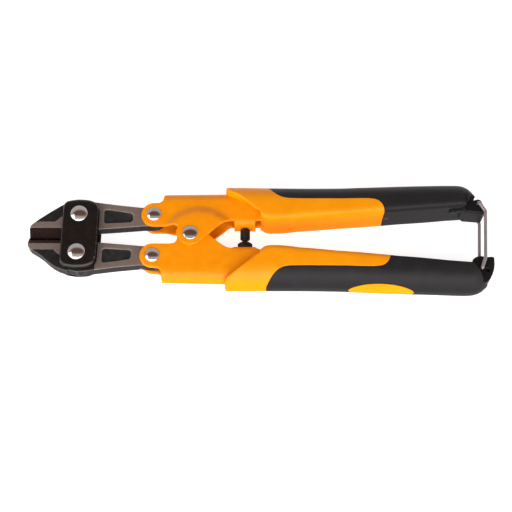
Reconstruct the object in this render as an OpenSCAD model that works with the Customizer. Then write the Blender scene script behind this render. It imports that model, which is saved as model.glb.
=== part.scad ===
// Compact bolt cutters with a compound lever head and a swing-over wire latch.
// Laid out about the tool's mid-plane with the jaws towards -X, then moved so
// that the finished part lies on z = 0 with the origin under its middle.
// Everything named upper lies on +Y, everything named lower lies on -Y.

/* [Head] */
// Thickness of the forged jaws
jaw_t = 5.8; // [5:0.1:5.9]
// Gap left between the two cutting edges when the handles meet the stop
edge_gap = 0.2; // [0.1:0.05:0.4]
// Thickness of the pressed legs
plate_t = 2.0; // [1.6:0.1:2]
// Thickness of the heavy side plates of the head
head_plate_t = 3.8; // [2:0.1:3.8]
// Depth of the recess pressed in each jaw tail
recess_d = 0.5; // [0.2:0.1:1]
// Radius of the jaw rivet shanks
jaw_rivet_r = 2.4; // [2:0.1:3]
// Radius of the jaw rivet heads
jaw_head_r = 3.95; // [3.6:0.05:4.2]
// Radius of the leg rivet shanks
leg_rivet_r = 2.0; // [1.6:0.1:2.4]
// Radius of the leg and pivot rivet heads
leg_head_r = 3.4; // [3:0.1:3.6]
// Running clearance of every turning joint, on the radius
run_clear = 0.05; // [0.02:0.01:0.08]

/* [Handles] */
// Half thickness of the moulded grips
grip_h = 9.6; // [9.5:0.1:10]
// Radius of the small edges along the inside of the grips
grip_edge_r = 2.0; // [1:0.25:3]
// Spread of the grip backs along their length, in degrees
grip_flare = 1.15; // [0.4:0.05:1.4]
// Half length of the oval palm inlay
inlay_len = 14.6; // [10:0.2:16]
// Half height of the oval palm inlay
inlay_h = 5.5; // [4:0.1:6.5]
// Depth of the palm inlay in the grip
inlay_d = 1.4; // [0.8:0.1:2]

/* [Stop screw and latch] */
// Radius of the stop screw's thread
stop_r = 1.7; // [1.4:0.1:2]
// Radius of the stop screw's domed bumper
bumper_r = 2.3; // [2:0.1:2.6]
// Width across the flats of the locknut
nut_af = 6.8; // [6:0.1:7]
// Thickness of the locknut
nut_t = 2.8; // [2:0.1:3]
// Radius of the latch wire
wire_r = 0.8; // [0.6:0.05:0.9]
// Half distance between the middles of the two wire legs
wire_z = 7.2; // [7:0.1:7.4]

/* [Hidden] */
$fn = 64;

jaw_p = [-74.75, 9.45];   // jaw rivet
lug_p = [-40.6, 10.2];    // rivet joining a jaw tail to its leg
piv_p = [-23.5, 0];       // main pivot of the two legs
jog_p = [-19.3, -5.1];    // centre of the arc where the upper leg steps outwards
jog_in = 16.0;            // inner radius of that step
jog_out = 18.3;           // outer radius of that step
z_plate = 3.0;            // inner face of the side plates and legs
z_lobe = 5.1;             // inner face of the upper leg's raised lobe
lug_r = 5.8;              // radius of the leg lugs
spine_y = 16.7;           // middle of the rounded back of each leg
leg_h = 5.0;              // half width of each leg's channel
tab_y = 5.2;              // outer face of the folded tab of each leg
bail_p = [109.2, 16.4];   // axis of the wire bail in the latch block
tip_p = [108.4, -16.3];   // where the ends of the bail rest on the hook
end_z = 5.8;              // half thickness of the latch block and hook
mid_x = 8.3;              // middle of the overall length

module home() translate([-mid_x, 0, grip_h]) children();
module both_y() { children(); mirror([0, 1, 0]) children(); }
module both_z() { children(); mirror([0, 0, 1]) children(); }
module lower_side() mirror([0, 1, 0]) children();

function arc(c, r, a0, a1, n) = [for (i = [0:n]) let (a = a0 + (a1 - a0) * i / n)
  [c[0] + r * cos(a), c[1] + r * sin(a)]];

// Straight round rod between two points
module rod(p, q, r) {
  d = q - p; l = norm(d);
  translate(p) rotate([0, acos(d[2] / l), atan2(d[1], d[0])])
    cylinder(r = r, h = l, $fn = 32);
}

// ---------------------------------------------------------------- rivets
// Domed head profile, flat side at height 0
function dome(r, h, rim) = let (k = h - rim, big = (r * r + k * k) / (2 * k))
  concat([[0, 0], [r, 0], [r, rim]],
    [for (i = [1:7]) let (x = r * (1 - i / 8))
      [x, h - big + sqrt(big * big - x * x)]], [[0, h]]);

module rivet(p, sr, hr, z1, hh) {
  translate([p[0], p[1], 0]) {
    translate([0, 0, -z1]) cylinder(r = sr, h = 2 * z1);
    both_z() translate([0, 0, z1]) rotate_extrude() polygon(dome(hr, hh, 0.3));
  }
}

// ---------------------------------------------------------------- jaws
e = edge_gap / 2;
heel_r = jaw_p[1] - e;
function jaw_outline() = concat(
  [[-98.0, e], [-98.0, 3.9], [-97.6, 5.2], [-96.7, 6.4], [-94.3, 8.1],
   [-88.6, 11.8], [-83.0, 15.4], [-81.0, 16.5], [-78.4, 17.4], [-74.7, 17.8],
   [-71.0, 17.5], [-67.2, 16.9], [-57.6, 15.6], [-46.3, 14.4]],
  arc(lug_p, 5.2, 70, -75, 16),
  [[-45.8, 4.9], [-56.7, 3.95], [-66.3, 3.2], [-69.0, 2.3]],
  arc(jaw_p, heel_r, -64, -135, 14), [[-82.0, e]]);

// Ground bevel towards the cutting edge, taken off one face
module bevel_cut() {
  translate([-100, 0, 0]) rotate([90, 0, 90]) linear_extrude(18.4)
    polygon([[e - 0.001, 0.12], [3.9, jaw_t / 2], [3.9, jaw_t], [-1, jaw_t], [-1, 0.12]]);
}
module jaw_recess() {
  translate([0, 0, jaw_t / 2 - recess_d]) linear_extrude(2) polygon([
    [-63.9, 12.6], [-63.0, 13.4], [-56.1, 12.5], [-51.2, 11.6], [-50.4, 10.7],
    [-50.2, 7.9], [-51.3, 6.8], [-62.8, 6.1], [-63.8, 7.0]]);
}
module jaw(hole) {
  difference() {
    translate([0, 0, -jaw_t / 2]) linear_extrude(jaw_t) polygon(jaw_outline());
    both_z() bevel_cut();
    both_z() jaw_recess();
    translate([jaw_p[0], jaw_p[1], -5]) cylinder(r = hole, h = 10);
    translate([lug_p[0], lug_p[1], -5]) cylinder(r = leg_rivet_r + run_clear, h = 10);
  }
}
module upper_jaw() { color("dimgray") jaw(jaw_rivet_r + 0.2); }
module lower_jaw() { color("dimgray") lower_side() jaw(jaw_rivet_r + run_clear); }

// ---------------------------------------------------------------- side plates
module side_plate() {
  difference() {
    translate([0, 0, z_plate]) linear_extrude(head_plate_t) polygon(concat(
      [[-82.3, 0], [-82.3, 14.6]], arc([-79.9, 14.6], 2.4, 175, 110, 4),
      [[-78.4, 17.1], [-75.0, 17.3], [-71.2, 17.1]], arc([-68.8, 14.6], 2.4, 75, 5, 4),
      [[-66.4, -14.6]], arc([-68.8, -14.6], 2.4, -5, -75, 4),
      [[-71.2, -17.1], [-75.0, -17.3], [-78.4, -17.1]],
      arc([-79.9, -14.6], 2.4, -110, -175, 4)));
    both_y() translate([jaw_p[0], jaw_p[1], 0]) cylinder(r = jaw_rivet_r, h = 10);
  }
}
module front_side_plate() { color("black") side_plate(); }
module rear_side_plate() { color("black") mirror([0, 0, 1]) side_plate(); }
module upper_jaw_rivet() { color("silver") rivet(jaw_p, jaw_rivet_r, jaw_head_r, z_plate + head_plate_t, 1.4); }
module lower_jaw_rivet() { color("silver") lower_side() upper_jaw_rivet(); }

// ---------------------------------------------------------------- legs
// Rounded back of a leg: half a tube along X
module leg_back() {
  translate([-36.2, 0, 0]) rotate([90, 0, 90]) linear_extrude(133.2)
    intersection() {
      difference() {
        translate([spine_y, 0]) circle(r = leg_h);
        translate([spine_y, 0]) circle(r = leg_h - plate_t);
      }
      translate([spine_y, -6]) square([6, 12]);
    }
}
// Tab folded across the open side of the channel, where the stop acts
module leg_tab(hole) {
  difference() {
    translate([-3.5, 0, 0]) rotate([90, 0, 90]) linear_extrude(9.7) difference() {
      union() {
        translate([tab_y, -3]) square([2, 6]);
        both_t() translate([tab_y + 2, 3]) circle(r = 2);
      }
      translate([tab_y + 2, -3]) square([3, 6]);
      translate([tab_y + 2, -6]) square([5, 12]);
    }
    if (hole) translate([1.5, 0, 0]) rotate([-90, 0, 0]) cylinder(r = stop_r + run_clear, h = 20);
  }
}
module both_t() { children(); mirror([0, 1]) children(); }

// Flat cheek of the upper leg, seen from the front
module upper_cheek() {
  difference() {
    union() {
      translate(lug_p) circle(r = lug_r);
      translate(piv_p) circle(r = 5.7);
      polygon([[-40.6, 4.4], [-33.5, 4.6], [-30.3, 4.5], [-29.4, 3.6], [-29.2, 0],
        [-23.5, 0], [-19.7, -4.2], [-16.2, -1.1], [-13.5, 1.5], [-9.8, 4.8],
        [-8.2, 6.1], [-6.4, 6.9], [-4.6, 7.2], [6.2, 7.2], [11, 7.6], [97, 15.5], [97, spine_y],
        [-36.2, spine_y], [-37.0, 16.4], [-38.0, 16.0], [-40.6, 16.0]]);
    }
    translate(lug_p) circle(r = leg_rivet_r);
    translate(piv_p) circle(r = leg_rivet_r + 0.4 + run_clear);
  }
}
// Section of the pressed cheek: low at the rim, raised inside the step
module stepped_sheet() {
  translate([jog_p[0], jog_p[1], 0]) rotate_extrude($fn = 128) polygon([
    [0, z_lobe], [jog_in, z_lobe], [jog_out, z_plate], [150, z_plate],
    [150, z_plate + plate_t], [jog_out, z_plate + plate_t],
    [jog_in, z_lobe + plate_t], [0, z_lobe + plate_t]]);
}
module upper_leg() {
  color("orange") {
    leg_back();
    leg_tab(false);
    both_z() intersection() {
      linear_extrude(10) upper_cheek();
      stepped_sheet();
    }
  }
}
// Flat cheek of the lower leg; its lobe lies under the upper leg's
module lower_cheek() {
  difference() {
    union() {
      translate([lug_p[0], -lug_p[1]]) circle(r = lug_r);
      translate(piv_p) circle(r = 7.0);
      polygon([[-40.6, -4.4], [-33.0, -4.6], [-31.0, -4.1], [-29.9, -3.0], [-29.4, -1.4],
        [-23.5, 0], [-20.6, 6.4], [-17.4, 3.0], [-14.7, 0.07], [-11.1, -3.0], [-7.9, -5.9],
        [-6.4, -6.9], [-4.6, -7.2], [6.2, -7.2], [11, -7.6], [97, -15.5], [97, -spine_y],
        [-36.2, -spine_y], [-37.0, -16.4], [-38.0, -16.0], [-40.6, -16.0]]);
    }
    translate([lug_p[0], -lug_p[1]]) circle(r = leg_rivet_r);
    translate(piv_p) circle(r = leg_rivet_r + 0.4);
  }
}
module lower_leg() {
  color("orange") {
    lower_side() { leg_back(); leg_tab(true); }
    both_z() translate([0, 0, z_plate]) linear_extrude(plate_t) lower_cheek();
  }
}
module upper_lug_rivet() { color("silver") rivet(lug_p, leg_rivet_r, leg_head_r, z_plate + plate_t, 1.3); }
module lower_lug_rivet() { color("silver") lower_side() upper_lug_rivet(); }
module main_pivot_rivet() {
  z1 = z_lobe + plate_t + 0.05;
  color("silver") rivet(piv_p, leg_rivet_r + 0.4, leg_head_r, z1, 1.05);
}
module pivot_spacer() {
  color("gray") translate([piv_p[0], piv_p[1], -z_plate]) difference() {
    cylinder(r = 4.4, h = 2 * z_plate);
    translate([0, 0, -1]) cylinder(r = leg_rivet_r + 0.4, h = 2 * z_plate + 2);
  }
}

// ---------------------------------------------------------------- stop screw
module stop_screw() {
  color("black") translate([1.5, 0, 0]) rotate([-90, 0, 0]) rotate_extrude() polygon(concat(
    [[0, -12.0], [1.2, -12.0], [stop_r, -11.5], [stop_r, -1.7], [1.35, -1.4], [1.35, -0.9],
     [bumper_r - 0.2, -0.5], [bumper_r, -0.1], [bumper_r, 3.3]],
    arc([bumper_r - 1.5, 3.3], 1.5, 15, 90, 5), [[0, 4.95]]));
}
module stop_locknut() {
  color("black") translate([1.5, -tab_y, 0]) rotate([-90, 0, 0]) difference() {
    intersection() {
      cylinder(r = nut_af / 2 / cos(30), h = nut_t, $fn = 6);
      rotate_extrude() polygon([[0, 0], [nut_af / 2 + 0.1, 0], [nut_af / 2 + 0.6, 0.3],
        [nut_af / 2 + 0.6, nut_t - 0.6], [nut_af / 2 - 0.5, nut_t], [0, nut_t]]);
    }
    translate([0, 0, -1]) cylinder(r = stop_r + run_clear, h = nut_t + 2);
  }
}

// ---------------------------------------------------------------- grips
// Whole moulded grip, before it is shared between its two materials
module grip_shape() {
  intersection() {
    translate([0, 0, -grip_h]) linear_extrude(2 * grip_h) polygon([
      [-7.5, 28], [-7.5, 25.0], [-3.4, 20.8], [0.4, 17.1], [4.4, 13.2], [7.9, 9.9],
      [8.5, 8.6], [9.8, 7.3], [11.7, 6.4], [15.2, 6.1], [29, 7.3], [67.4, 10.6],
      [98.9, 13.4], [103.6, 13.7], [105.0, 13.4], [106.8, 17.0], [108.4, 20.5],
      [108.4, 21.6], [106.4, 24.0], [104.1, 25.7], [101.9, 26.8], [99, 27.6], [95, 28]]);
    grip_back(grip_h);
    rotate([0, 0, 4.96]) translate([-20, 4.93, 0]) rotate([90, 0, 90]) linear_extrude(150)
      polygon(concat([[30, -grip_h]],
        arc([grip_edge_r, grip_edge_r - grip_h], grip_edge_r, 270, 180, 6),
        arc([grip_edge_r, grip_h - grip_edge_r], grip_edge_r, 180, 90, 6),
        [[30, grip_h]]));
  }
}
// Long rounded back that the palm rests on
module grip_back(r) {
  rotate([0, 0, grip_flare]) translate([-30, 24.9 - grip_h, 0]) rotate([90, 0, 90])
    linear_extrude(150) {
      circle(r = r);
      translate([-40, -r]) square([40, 2 * r]);
    }
}
// Room for the steel leg inside a grip
module leg_room() {
  intersection() {
    translate([0, 0, -6]) linear_extrude(12) polygon([[-12, 5], [6.3, 5.1], [8.2, 7.0],
      [11, 7.5], [97.1, 15.4], [97.1, 30], [-12, 30]]);
    translate([-20, 0, 0]) rotate([90, 0, 90]) linear_extrude(140) {
      translate([spine_y, 0]) circle(r = leg_h + 0.05);
      translate([0, -leg_h - 0.05]) square([spine_y, 2 * leg_h + 0.1]);
    }
  }
}
// Area covered by the soft overmoulding, seen from the front
module soft_area() {
  translate([0, 0, -10]) linear_extrude(20) polygon([
    [11.0, 32], [11.1, 28.4], [12.2, 25.0], [14.0, 21.6], [15.6, 19.4], [17.8, 17.9],
    [20.6, 17.1], [24.0, 16.8], [30, 16.7], [60, 16.6], [63, 15.9], [64.8, 14.4],
    [66.2, 12.2], [66.6, 11.2], [66.8, 5], [120, 5], [120, 32]]);
}
// Oval column through the palm side of the back
module inlay_area() {
  translate([63.2, 18, 0]) rotate([-90, 0, 0]) linear_extrude(14) polygon(
    [for (i = [0:59]) [inlay_len * cos(6 * i), inlay_h * sin(6 * i)]]);
}
module palm_inlay() {
  difference() {
    intersection() { inlay_area(); grip_back(grip_h); }
    grip_back(grip_h - inlay_d);
  }
}
module grip_sleeve() {
  difference() { grip_shape(); soft_area(); leg_room(); }
}
module grip_overmould() {
  difference() {
    intersection() { grip_shape(); soft_area(); }
    leg_room();
    palm_inlay();
  }
}
module upper_grip_sleeve() { color("orange") grip_sleeve(); }
module lower_grip_sleeve() { color("orange") lower_side() grip_sleeve(); }
module upper_grip_overmould() { color("darkslategray") grip_overmould(); }
module lower_grip_overmould() { color("darkslategray") lower_side() grip_overmould(); }
module upper_palm_inlay() { color("orange") palm_inlay(); }
module lower_palm_inlay() { color("orange") lower_side() palm_inlay(); }

// ---------------------------------------------------------------- latch
module upper_latch_block() {
  color("black") difference() {
    translate([0, 0, -end_z]) linear_extrude(2 * end_z) polygon(concat(
      [[105.0, 12.6], [104.8, 11.9], [111.6, 11.7], [112.0, 12.2], [111.9, 12.9]],
      arc(bail_p, 2.0, 20, 110, 6), [[107.3, 18.1]]));
    translate([bail_p[0], bail_p[1], -10]) cylinder(r = wire_r + 0.08, h = 20, $fn = 48);
  }
}
module lower_latch_hook() {
  color("black") difference() {
    translate([0, 0, -end_z]) linear_extrude(2 * end_z) polygon([
      [105.0, -12.6], [105.1, -11.4], [106.4, -10.4], [108.1, -9.9], [111.1, -10.5],
      [113.9, -10.3], [114.6, -10.8], [114.4, -13.5], [113.7, -16.0], [112.7, -18.4],
      [111.2, -21.2], [109.9, -22.8], [108.4, -23.4], [108.4, -20.5], [106.8, -17.0]]);
    both_z() translate([tip_p[0], tip_p[1], end_z - 0.7]) cylinder(r = 1.3, h = 5);
    translate([111.0, -17.0, -10]) cylinder(r = 0.9, h = 20, $fn = 32);
  }
}
module wire_leg() {
  a = [bail_p[0], bail_p[1], wire_z];
  b = [111.9, 11.6, wire_z];
  c = [110.2, -11.4, wire_z];
  d = [tip_p[0], tip_p[1], wire_z];
  rod(a, b, wire_r); rod(b, c, wire_r); rod(c, d, wire_r);
  rod([d[0], d[1], end_z + 0.25], d, wire_r);
  for (p = [a, b, c, d]) translate(p) sphere(r = wire_r + 0.02, $fn = 32);
}
module wire_bail() {
  color("silver") {
    both_z() wire_leg();
    translate([bail_p[0], bail_p[1], -wire_z]) cylinder(r = wire_r, h = 2 * wire_z, $fn = 32);
  }
}

home() upper_jaw();
home() lower_jaw();
home() front_side_plate();
home() rear_side_plate();
home() upper_jaw_rivet();
home() lower_jaw_rivet();
home() upper_leg();
home() lower_leg();
home() upper_lug_rivet();
home() lower_lug_rivet();
home() main_pivot_rivet();
home() pivot_spacer();
home() stop_screw();
home() stop_locknut();
home() upper_grip_sleeve();
home() lower_grip_sleeve();
home() upper_grip_overmould();
home() lower_grip_overmould();
home() upper_palm_inlay();
home() lower_palm_inlay();
home() upper_latch_block();
home() lower_latch_hook();
home() wire_bail();
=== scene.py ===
import bpy, math
import numpy as np
from mathutils import Vector, Matrix
from mathutils.geometry import delaunay_2d_cdt

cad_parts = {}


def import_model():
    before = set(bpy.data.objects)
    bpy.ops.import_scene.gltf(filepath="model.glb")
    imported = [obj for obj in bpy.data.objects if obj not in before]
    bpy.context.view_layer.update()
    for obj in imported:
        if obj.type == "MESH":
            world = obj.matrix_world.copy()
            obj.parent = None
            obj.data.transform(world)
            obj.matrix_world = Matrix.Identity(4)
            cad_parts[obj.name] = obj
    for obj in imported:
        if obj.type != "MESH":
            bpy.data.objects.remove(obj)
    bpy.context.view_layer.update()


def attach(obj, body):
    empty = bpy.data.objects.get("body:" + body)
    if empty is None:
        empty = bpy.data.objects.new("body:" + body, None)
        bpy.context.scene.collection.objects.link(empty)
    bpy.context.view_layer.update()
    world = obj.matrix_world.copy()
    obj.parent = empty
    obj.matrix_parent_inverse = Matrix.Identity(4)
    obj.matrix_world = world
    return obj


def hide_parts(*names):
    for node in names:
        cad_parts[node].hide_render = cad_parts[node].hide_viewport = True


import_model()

MX, MZ = 8.3, 9.6                      # tool frame to part frame, mm


def world(p):
    """Tool-frame millimetres (mid-plane at z = 0) to the part's frame in metres."""
    return (np.asarray(p, float) + np.array([-MX, 0.0, MZ])) / 1000.0


# ------------------------------------------------------------------ 2-D helpers
def arc(c, r, a0, a1, n):
    return [(c[0] + r * math.cos(math.radians(a0 + (a1 - a0) * i / n)),
             c[1] + r * math.sin(math.radians(a0 + (a1 - a0) * i / n))) for i in range(n + 1)]


def circle(c, r, n=32):
    return [(c[0] + r * math.cos(2 * math.pi * i / n), c[1] + r * math.sin(2 * math.pi * i / n)) for i in range(n)]


def fillet(pts, rad, seg=5):
    """Rounds the corners of a closed outline. rad is one radius or one for each corner."""
    n = len(pts)
    rads = rad if isinstance(rad, (list, tuple)) else [rad] * n
    out = []
    for i in range(n):
        p0, p, p1 = (np.array(pts[j % n], float) for j in (i - 1, i, i + 1))
        r = rads[i]
        a, b = p0 - p, p1 - p
        la, lb = np.linalg.norm(a), np.linalg.norm(b)
        a, b = a / la, b / lb
        cosang = float(np.clip(a @ b, -1, 1))
        ang = math.acos(cosang)
        if r <= 0 or ang > math.radians(176) or ang < 1e-3:
            out.append(tuple(p))
            continue
        t = min(r / math.tan(ang / 2), 0.45 * la, 0.45 * lb)
        r = t * math.tan(ang / 2)
        bis = a + b
        c = p + bis / np.linalg.norm(bis) * (r / math.sin(ang / 2))
        s, e = p + a * t, p + b * t
        a0 = math.atan2(*(s - c)[::-1])
        a1 = math.atan2(*(e - c)[::-1])
        d = (a1 - a0 + math.pi) % (2 * math.pi) - math.pi
        k = max(2, int(math.ceil(abs(d) / math.radians(90 / seg))))
        out += [(c[0] + r * math.cos(a0 + d * j / k), c[1] + r * math.sin(a0 + d * j / k)) for j in range(k + 1)]
    return out


def spline(pts, per=6):
    """Smooth open curve through points (Catmull-Rom)."""
    P = [np.array(p, float) for p in pts]
    P = [2 * P[0] - P[1]] + P + [2 * P[-1] - P[-2]]
    out = []
    for i in range(1, len(P) - 2):
        for k in range(per):
            t = k / per
            out.append(tuple(0.5 * (2 * P[i] + (P[i + 1] - P[i - 1]) * t
                                    + (2 * P[i - 1] - 5 * P[i] + 4 * P[i + 1] - P[i + 2]) * t * t
                                    + (3 * P[i] - P[i - 1] - 3 * P[i + 1] + P[i + 2]) * t ** 3)))
    out.append(tuple(P[-2]))
    return out


def area2(loop):
    a = np.array(loop)
    b = np.roll(a, -1, 0)
    return 0.5 * float(np.sum(a[:, 0] * b[:, 1] - b[:, 0] * a[:, 1]))


def tidy(loop, step):
    """Closed loop with no doubled points and no edge longer than step."""
    out = []
    n = len(loop)
    for i in range(n):
        p, q = np.array(loop[i], float), np.array(loop[(i + 1) % n], float)
        d = np.linalg.norm(q - p)
        if d < 0.02:
            continue
        k = max(1, int(math.ceil(d / step)))
        for j in range(k):
            out.append(p + (q - p) * j / k)
    return np.array(out)


def inset(loop, flags, d):
    """Moves each edge of the loop to its left by d, except edges whose flag is 0."""
    n = len(loop)
    e = np.roll(loop, -1, 0) - loop
    e /= np.linalg.norm(e, axis=1)[:, None]
    nl = np.stack([-e[:, 1], e[:, 0]], 1)
    out = np.empty_like(loop)
    for i in range(n):
        n1, n2 = nl[i - 1], nl[i]
        d1, d2 = d * flags[i - 1], d * flags[i]
        cr = n1[0] * n2[1] - n1[1] * n2[0]
        if abs(cr) < 0.08:
            m = n1 + n2
            L = np.linalg.norm(m)
            p = m / (L * L) * (d1 + d2) if L > 1e-6 else n1 * d1
        else:
            p = np.array([d1 * n2[1] - d2 * n1[1], n1[0] * d2 - n2[0] * d1]) / cr
            L = np.linalg.norm(p)
            lim = 2.2 * max(abs(d), 1e-9)
            if L > lim:
                p = p / L * lim
        out[i] = loop[i] + p
    return out


def inside(pts, loop):
    x, y = pts[:, 0], pts[:, 1]
    res = np.zeros(len(pts), bool)
    a, b = loop, np.roll(loop, -1, 0)
    for (x0, y0), (x1, y1) in zip(a, b):
        if y0 == y1:
            continue
        c = ((y0 > y) != (y1 > y)) & (x < (x1 - x0) * (y - y0) / (y1 - y0) + x0)
        res ^= c
    return res


def seg_dist(pts, a, b):
    d = b - a
    L = float(d @ d) or 1e-12
    t = np.clip(((pts - a) @ d) / L, 0, 1)
    return np.linalg.norm(pts - (a + t[:, None] * d), axis=1)


# ------------------------------------------------------------------ mesh builders
def new_object(name, verts, faces, smooth=True, weighted=True, merge=2e-6):
    me = bpy.data.meshes.new(name)
    me.from_pydata([tuple(map(float, v)) for v in verts], [], faces)
    import bmesh
    bm = bmesh.new()
    bm.from_mesh(me)
    bmesh.ops.remove_doubles(bm, verts=bm.verts, dist=merge)
    bmesh.ops.dissolve_degenerate(bm, edges=bm.edges, dist=1e-7)
    loose = [v for v in bm.verts if not v.link_faces]
    bmesh.ops.delete(bm, geom=loose, context="VERTS")
    bmesh.ops.recalc_face_normals(bm, faces=bm.faces)
    bm.to_mesh(me)
    bm.free()
    ob = bpy.data.objects.new(name, me)
    bpy.context.scene.collection.objects.link(ob)
    if smooth:
        me.shade_smooth()
    if weighted:
        m = ob.modifiers.new("weighted", "WEIGHTED_NORMAL")
        m.mode = "FACE_AREA_WITH_ANGLE"
        m.weight = 50
        m.keep_sharp = True
    return ob


def skin(name, outer, holes, step, f_out, f_dir, f_in, rim=0.4, bottom=False, seam=None, seg=4,
         creases=(), both=True, rim_bottom=None, grid=None, sign=1, rim_at=None):
    """A sheet or half solid over a 2-D outline.
    f_out maps (u, v) to the outer surface, f_dir gives the inward direction there, and f_in the inner surface
    (bottom=True) or the core that its walls run to. Outline edges on the seam carry no wall, and both=True adds
    the copy mirrored across the mid-plane, which joins it there. sign=-1 mirrors the piece to the lower side."""
    seam = seam or (lambda a, b: False)
    loops = [outer] + list(holes)
    L2 = []
    for k, lp in enumerate(loops):
        lp = [tuple(p) for p in lp]
        a = area2(lp)
        if (k == 0 and a < 0) or (k > 0 and a > 0):
            lp = lp[::-1]
        lp = tidy(lp, step if k == 0 else min(step, 0.7))
        fl = np.array([0.0 if seam(lp[i], lp[(i + 1) % len(lp)])
                       else (rim_at(lp[i], lp[(i + 1) % len(lp)]) if rim_at and k == 0 else 1.0) for i in range(len(lp))])
        for _ in range(3):                       # let the rim width change gradually
            sm = (np.roll(fl, 1) + 2 * fl + np.roll(fl, -1)) / 4
            fl = np.where((fl == 0) | (np.roll(fl, 1) == 0) | (np.roll(fl, -1) == 0), fl, sm)
        L2.append((lp, fl))
    top = [inset(lp, fl, rim) for lp, fl in L2]
    # triangulate the field inside the inset loops
    pts, edges = [], []
    for lp in top:
        base = len(pts)
        pts += [tuple(p) for p in lp]
        edges += [(base + i, base + (i + 1) % len(lp)) for i in range(len(lp))]
    nb = len(pts)
    cons = []
    for c in creases:
        c = [np.array(p, float) for p in c]
        cc = []
        for p, q in zip(c[:-1], c[1:]):
            k = max(1, int(math.ceil(np.linalg.norm(q - p) / step)))
            cc += [p + (q - p) * j / k for j in range(k)]
        cc.append(c[-1])
        keep = inside(np.array(cc), top[0])
        for h in top[1:]:
            keep &= ~inside(np.array(cc), h)
        prev = None
        for p, ok in zip(cc, keep):
            if not ok:
                prev = None
                continue
            pts.append(tuple(p))
            cons.append(p)
            if prev is not None:
                edges.append((prev, len(pts) - 1))
            prev = len(pts) - 1
    lo, hi = top[0].min(0), top[0].max(0)
    g = grid or step
    gx = np.arange(lo[0] + g * 0.37, hi[0], g)
    rows = []
    for j, y in enumerate(np.arange(lo[1] + g * 0.43, hi[1], g * 0.866)):
        rows.append(np.stack([gx + (g / 2 if j % 2 else 0), np.full(len(gx), y)], 1))
    P = np.concatenate(rows)
    ok = inside(P, top[0])
    for h in top[1:]:
        ok &= ~inside(P, h)
    P = P[ok]
    near = np.full(len(P), 1e9)
    for lp in top:
        for i in range(len(lp)):
            near = np.minimum(near, seg_dist(P, lp[i], lp[(i + 1) % len(lp)]))
    if cons:
        C = np.array(cons)
        for p in C:
            near = np.minimum(near, np.linalg.norm(P - p, axis=1))
    P = P[near > 0.5 * g]
    pts += [tuple(p) for p in P]
    v2, e2, f2, ov, oe, of_ = delaunay_2d_cdt([Vector(p) for p in pts], edges, [], 0, 1e-6, True)
    V = np.array([[p[0], p[1]] for p in v2])
    T = np.array([list(f) for f in f2 if len(f) == 3])
    cen = V[T].mean(1)
    ok = inside(cen, top[0])
    for h in top[1:]:
        ok &= ~inside(cen, h)
    T = T[ok]
    back = {}
    for k, src in enumerate(ov):
        for s in src:
            back[s] = k

    def orient(t):
        a, b, c = V[t[0]], V[t[1]], V[t[2]]
        return (b[0] - a[0]) * (c[1] - a[1]) - (b[1] - a[1]) * (c[0] - a[0]) > 0

    verts = [np.array(f_out(x, y), float) for x, y in V]
    faces = [tuple(int(i) for i in (t if orient(t) else t[::-1])) for t in T]
    if bottom:
        rb = rim if rim_bottom is None else rim_bottom
        off = len(verts)
        verts += [np.array(f_in(x, y), float) for x, y in V]
        faces += [tuple(i + off for i in f[::-1]) for f in faces]
    start = 0
    for (lp, fl), tl in zip(L2, top):
        n = len(lp)
        ids = [back[start + i] for i in range(n)]
        start += n
        rings = [ids]
        for k in range(1, seg + 1):
            a = math.pi / 2 * k / seg
            ring = inset(lp, fl, rim * (1 - math.sin(a)))
            cur = []
            for i, (x, y) in enumerate(ring):
                dep = rim * (1 - math.cos(a)) * max(fl[i - 1], fl[i])
                po = np.array(f_out(x, y), float)
                pi_ = np.array(f_in(x, y), float)
                dr = np.array(f_dir(x, y), float)
                th = np.linalg.norm(pi_ - po)
                r_here = min(1.0, 0.46 * th / rim) if bottom else min(1.0, 0.9 * th / rim)
                cur.append(len(verts))
                verts.append(po + dr * dep * r_here)
            rings.append(cur)
        if bottom:
            rings_b = [[i + off for i in ids]]
            for k in range(1, seg + 1):
                a = math.pi / 2 * k / seg
                ring = inset(lp, fl, rim * (1 - math.sin(a)))
                dep = rb * (1 - math.cos(a))
                cur = []
                for i, (x, y) in enumerate(ring):
                    po = np.array(f_out(x, y), float)
                    pi_ = np.array(f_in(x, y), float)
                    dr = np.array(f_dir(x, y), float)
                    th = np.linalg.norm(pi_ - po)
                    r_here = min(1.0, 0.46 * th / rb)
                    cur.append(len(verts))
                    verts.append(pi_ - dr * dep * r_here)
                rings_b.append(cur)
            rings += rings_b[::-1]
        else:
            cur = []
            for x, y in lp:
                cur.append(len(verts))
                verts.append(np.array(f_in(x, y), float))
            rings.append(cur)
        for A, B in zip(rings[:-1], rings[1:]):
            for i in range(n):
                if fl[i] == 0.0:
                    continue
                j = (i + 1) % n
                faces.append((A[j], A[i], B[i], B[j]))
    verts = np.array(verts)
    if both:
        m = verts.copy()
        m[:, 2] *= -1
        n = len(verts)
        faces = faces + [tuple(i + n for i in f[::-1]) for f in faces]
        verts = np.concatenate([verts, m])
    if sign < 0:
        verts[:, 1] *= -1
        faces = [f[::-1] for f in faces]
    faces = [f for f in faces if len(set(f)) == len(f)]
    return new_object(name, world(verts), faces)


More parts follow.
